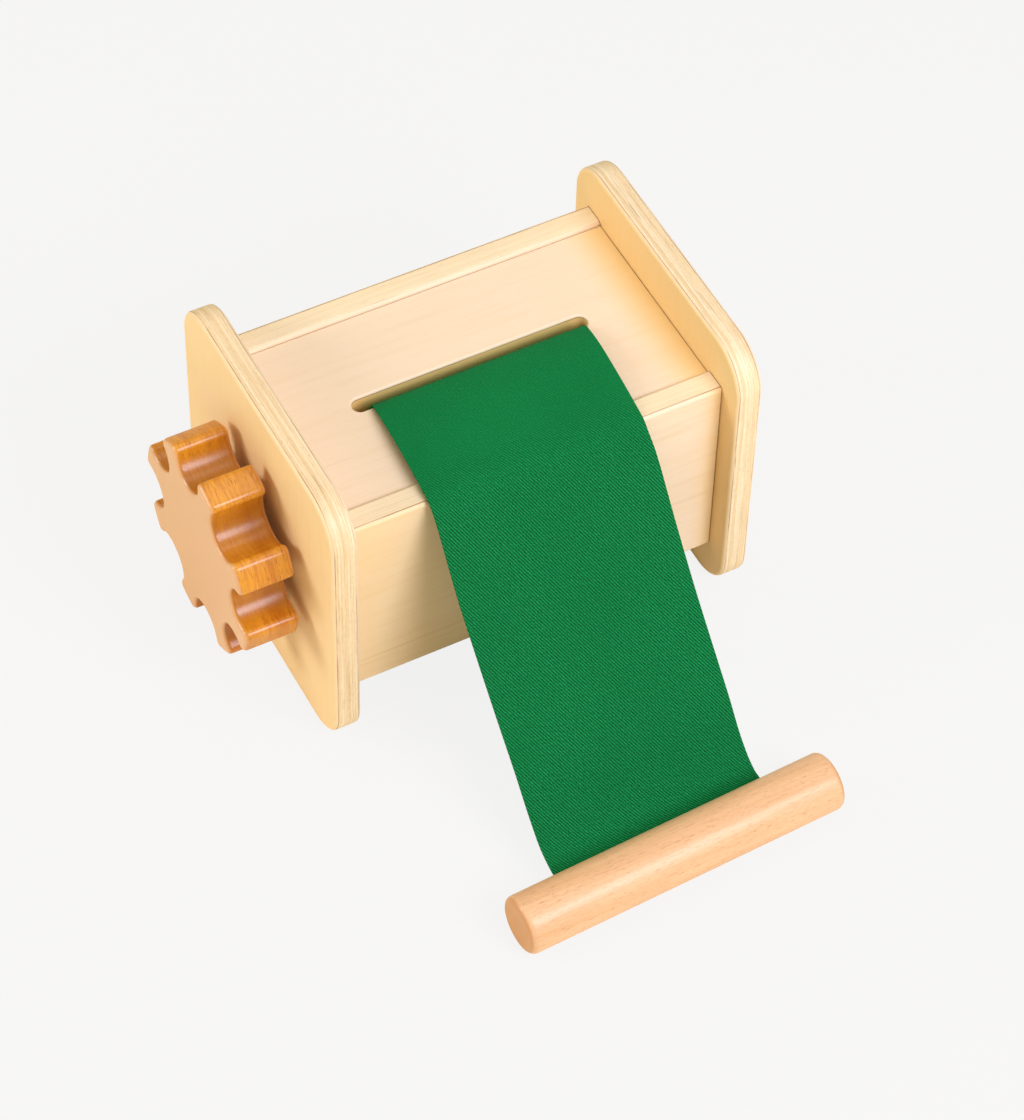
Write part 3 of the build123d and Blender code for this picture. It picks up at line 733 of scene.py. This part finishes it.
def woven_strip(name, left_line, right_line, length, columns):
    """A strip of ribbon between two edge lines, with its own map in metres."""
    settings = bpy.context.scene.winder_ribbon
    rows = len(left_line) - 1
    bpy.ops.mesh.primitive_grid_add(x_subdivisions=columns, y_subdivisions=rows, size=1, calc_uvs=True)
    strip = bpy.context.object
    strip.name = name
    strip.data.name = name
    strip.data.uv_layers[0].name = "cloth"
    width = (left_line[0] - right_line[0]).length
    shares = [(vertex.co.x + 0.5, vertex.co.y + 0.5) for vertex in strip.data.vertices]
    for vertex, (across, along) in zip(strip.data.vertices, shares):
        row = round(along * rows)
        vertex.co = left_line[row].lerp(right_line[row], across)
    layer = strip.data.uv_layers["cloth"].data
    for loop in strip.data.loops:
        across, along = shares[loop.vertex_index]
        layer[loop.index].uv = (across * width, along * length)
    modifier = strip.modifiers.new("weave thickness", "SOLIDIFY")
    modifier.thickness = settings.thickness
    modifier.offset = 0
    bpy.ops.object.modifier_apply(modifier=modifier.name)
    bpy.ops.object.shade_smooth_by_angle(angle=math.radians(50))
    return strip


class WINDER_OT_free_ribbon(bpy.types.Operator):
    """Make the ribbon from the roll through the slot to the handle"""
    bl_idname = "winder.free_ribbon"
    bl_label = "Free ribbon"

    def execute(self, context):
        rows = 170
        left_line, left_length = smooth_line(free_edge("left"), rows)
        right_line, right_length = smooth_line(free_edge("right"), rows)
        length = (left_length + right_length) / 2
        ribbon = woven_strip("free_ribbon", left_line, right_line, length, columns=22)
        ribbon.data.materials.append(ribbon_finish("green twill"))
        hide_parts("ribbon_outer_run", "ribbon_inner_run", "ribbon_handle_end")
        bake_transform(ribbon)
        return {"FINISHED"}


class WINDER_OT_wound_ribbon(bpy.types.Operator):
    """Wind the rest of the ribbon on the roller"""
    bl_idname = "winder.wound_ribbon"
    bl_label = "Wound ribbon"

    def execute(self, context):
        settings = context.scene.winder_ribbon
        first = SEAT + SEAT_GAP + settings.thickness / MM / 2
        lean = ribbon_lean()
        # radius and angle: first the end in the roller's kerf, then the turns
        route = [(SEAT - inward, lean) for inward in (4.3, 2.0, 0.4)]
        for step in range(1, settings.turns * WOUND_STEPS + 1):
            turn = step / WOUND_STEPS
            # a hair less than the pitch, so that the last turn stays within its solid
            route.append((first + PITCH * turn * 0.995, lean + 2 * math.pi * turn))
        left = (RIBBON_LEFT - BOX_X) / MM
        lines = []
        for x in (left, left + RIBBON_WIDTH / MM):
            places = [box_place(x, radius * math.cos(angle), AXLE_Z / MM + radius * math.sin(angle))
                      for radius, angle in route]
            line, length = smooth_line(places, settings.turns * 48)
            lines.append(line)
        ribbon = woven_strip("wound_ribbon", *lines, length, columns=6)
        ribbon.data.materials.append(ribbon_finish("green twill on the roller"))
        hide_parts("ribbon_wound", "ribbon_roller_end")
        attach(ribbon, "spool")
        return {"FINISHED"}


# ------------------------------------------------------------------ stage
# The camera's angles, its place in millimetres from the box's own middle, and its focal length.
AZIMUTH, ELEVATION, ROLL = math.radians(-28.871), math.radians(50.912), math.radians(1.636)
CAMERA_PLACE = (-535.756, -1011.773, 1403.985)
LENS = 132.5
LAMP_TARGET = Vector((BOX_X, BOX_Y - 0.04, 0.06))
# Each lamp's name, place and size in metres, power in watts and tint.
LAMPS = (("key_lamp", (0.315, -1.05, 1.05), 0.8, 17.8, (0.82, 0.86, 1.0)),
         ("left_lamp", (-1.25, 0.5, 0.6), 0.6, 8.0, (0.94, 0.96, 1.0)),
         ("top_lamp", (0.0, 0.15, 1.7), 0.8, 3.3, (0.92, 0.96, 1.0)))
SKY_TINT = (1.0, 0.93, 0.66, 1)
SKY_STRENGTH = 0.48
FLOOR_SIZE = 12.0
FLOOR_DROP = 0.2 * MM
FLOOR_BOUNCE = colour(246, 240, 218)
FLOOR_GLOW = 0.93             # the share of the floor that shows no light or shadow


def soft_lamp(name, place, size, power, tint):
    """A large soft lamp that faces the box."""
    bpy.ops.object.light_add(type="AREA", location=place)
    lamp = bpy.context.object
    lamp.name = name
    lamp.data.shape = "DISK"
    lamp.data.size = size
    lamp.data.energy = power
    lamp.data.color = tint
    lamp.rotation_euler = (LAMP_TARGET - Vector(place)).to_track_quat("-Z", "Y").to_euler()


def to_the_camera(tree, share, plain, seen, output):
    """Mixes a plain look with a share of another one that only the camera sees."""
    path = tree.nodes.new("ShaderNodeLightPath")
    mix = tree.nodes.new("ShaderNodeMixShader")
    tree.links.new(sums(tree, "MULTIPLY", path.outputs["Is Camera Ray"], share), mix.inputs[0])
    tree.links.new(plain, mix.inputs[1])
    tree.links.new(seen, mix.inputs[2])
    tree.links.new(mix.outputs[0], output)


class WINDER_OT_stage(bpy.types.Operator):
    """Set the pale floor, the soft light and the camera"""
    bl_idname = "winder.stage"
    bl_label = "Stage"

    def execute(self, context):
        scene = context.scene
        backdrop = tuple(scene.winder_stage.backdrop)
        bpy.ops.mesh.primitive_plane_add(size=FLOOR_SIZE, location=(0, 0, -FLOOR_DROP))
        floor = context.object
        floor.name = "studio_floor"
        material, tree, shader = finish_named("studio floor")
        shader.inputs["Base Color"].default_value = FLOOR_BOUNCE
        shader.inputs["Roughness"].default_value = 0.9
        glow = tree.nodes.new("ShaderNodeEmission")
        glow.inputs["Color"].default_value = backdrop
        to_the_camera(tree, FLOOR_GLOW, shader.outputs[0], glow.outputs[0],
                      tree.nodes["Material Output"].inputs["Surface"])
        floor.data.materials.append(material)

        world = bpy.data.worlds.new("studio")
        scene.world = world
        world.use_nodes = True
        tree = world.node_tree
        light = tree.nodes["Background"]
        light.inputs["Color"].default_value = SKY_TINT
        light.inputs["Strength"].default_value = SKY_STRENGTH
        seen = tree.nodes.new("ShaderNodeBackground")
        seen.inputs["Color"].default_value = backdrop
        to_the_camera(tree, 1.0, light.outputs[0], seen.outputs[0],
                      tree.nodes["World Output"].inputs["Surface"])

        for lamp in LAMPS:
            soft_lamp(*lamp)

        bpy.ops.object.camera_add()
        camera = context.object
        camera.name = "photo_camera"
        camera.data.lens = LENS
        camera.data.sensor_width = 36
        camera.data.sensor_fit = "AUTO"
        camera.data.clip_start = 0.01
        camera.data.clip_end = 50
        right = Vector((math.cos(AZIMUTH), math.sin(AZIMUTH), 0))
        back = Vector((math.sin(AZIMUTH) * math.cos(ELEVATION), -math.cos(AZIMUTH) * math.cos(ELEVATION),
                       math.sin(ELEVATION)))
        up = back.cross(right)
        rolled_right = right * math.cos(ROLL) + up * math.sin(ROLL)
        rolled_up = up * math.cos(ROLL) - right * math.sin(ROLL)
        turned = Matrix((rolled_right, rolled_up, back)).transposed().to_4x4()
        camera.matrix_world = Matrix.Translation(box_place(*CAMERA_PLACE)) @ turned
        scene.camera = camera
        scene.view_settings.view_transform = "Standard"
        return {"FINISHED"}


class WINDER_PT_panel(bpy.types.Panel):
    """Sizes and colours of the winder, and the steps that make it"""
    bl_label = "Ribbon Winder"
    bl_idname = "WINDER_PT_panel"
    bl_space_type = "VIEW_3D"
    bl_region_type = "UI"
    bl_category = "Winder"

    def draw(self, context):
        for name, kind in SETTINGS:
            settings = getattr(context.scene, name)
            box = self.layout.box()
            box.label(text=name.split("_")[1].capitalize())
            for size in kind.__annotations__:
                box.prop(settings, size)
        for operator in OPERATORS:
            self.layout.operator(operator.bl_idname)


OPERATORS = (WINDER_OT_panels, WINDER_OT_knob, WINDER_OT_handle, WINDER_OT_inner_works,
             WINDER_OT_free_ribbon, WINDER_OT_wound_ribbon, WINDER_OT_stage)
SETTINGS = (("winder_plywood", PlywoodSettings), ("winder_beech", BeechSettings),
            ("winder_ribbon", RibbonSettings), ("winder_stage", StageSettings))


def register():
    for name, settings in SETTINGS:
        bpy.utils.register_class(settings)
        setattr(bpy.types.Scene, name, bpy.props.PointerProperty(type=settings))
    for operator in OPERATORS:
        bpy.utils.register_class(operator)
    bpy.utils.register_class(WINDER_PT_panel)


def unregister():
    bpy.utils.unregister_class(WINDER_PT_panel)
    for operator in reversed(OPERATORS):
        bpy.utils.unregister_class(operator)
    for name, settings in reversed(SETTINGS):
        delattr(bpy.types.Scene, name)
        bpy.utils.unregister_class(settings)


def main():
    register()
    bpy.ops.winder.panels()
    bpy.ops.winder.knob()
    bpy.ops.winder.handle()
    bpy.ops.winder.inner_works()
    bpy.ops.winder.free_ribbon()
    bpy.ops.winder.wound_ribbon()
    bpy.ops.winder.stage()


if __name__ == "__main__":
    main()
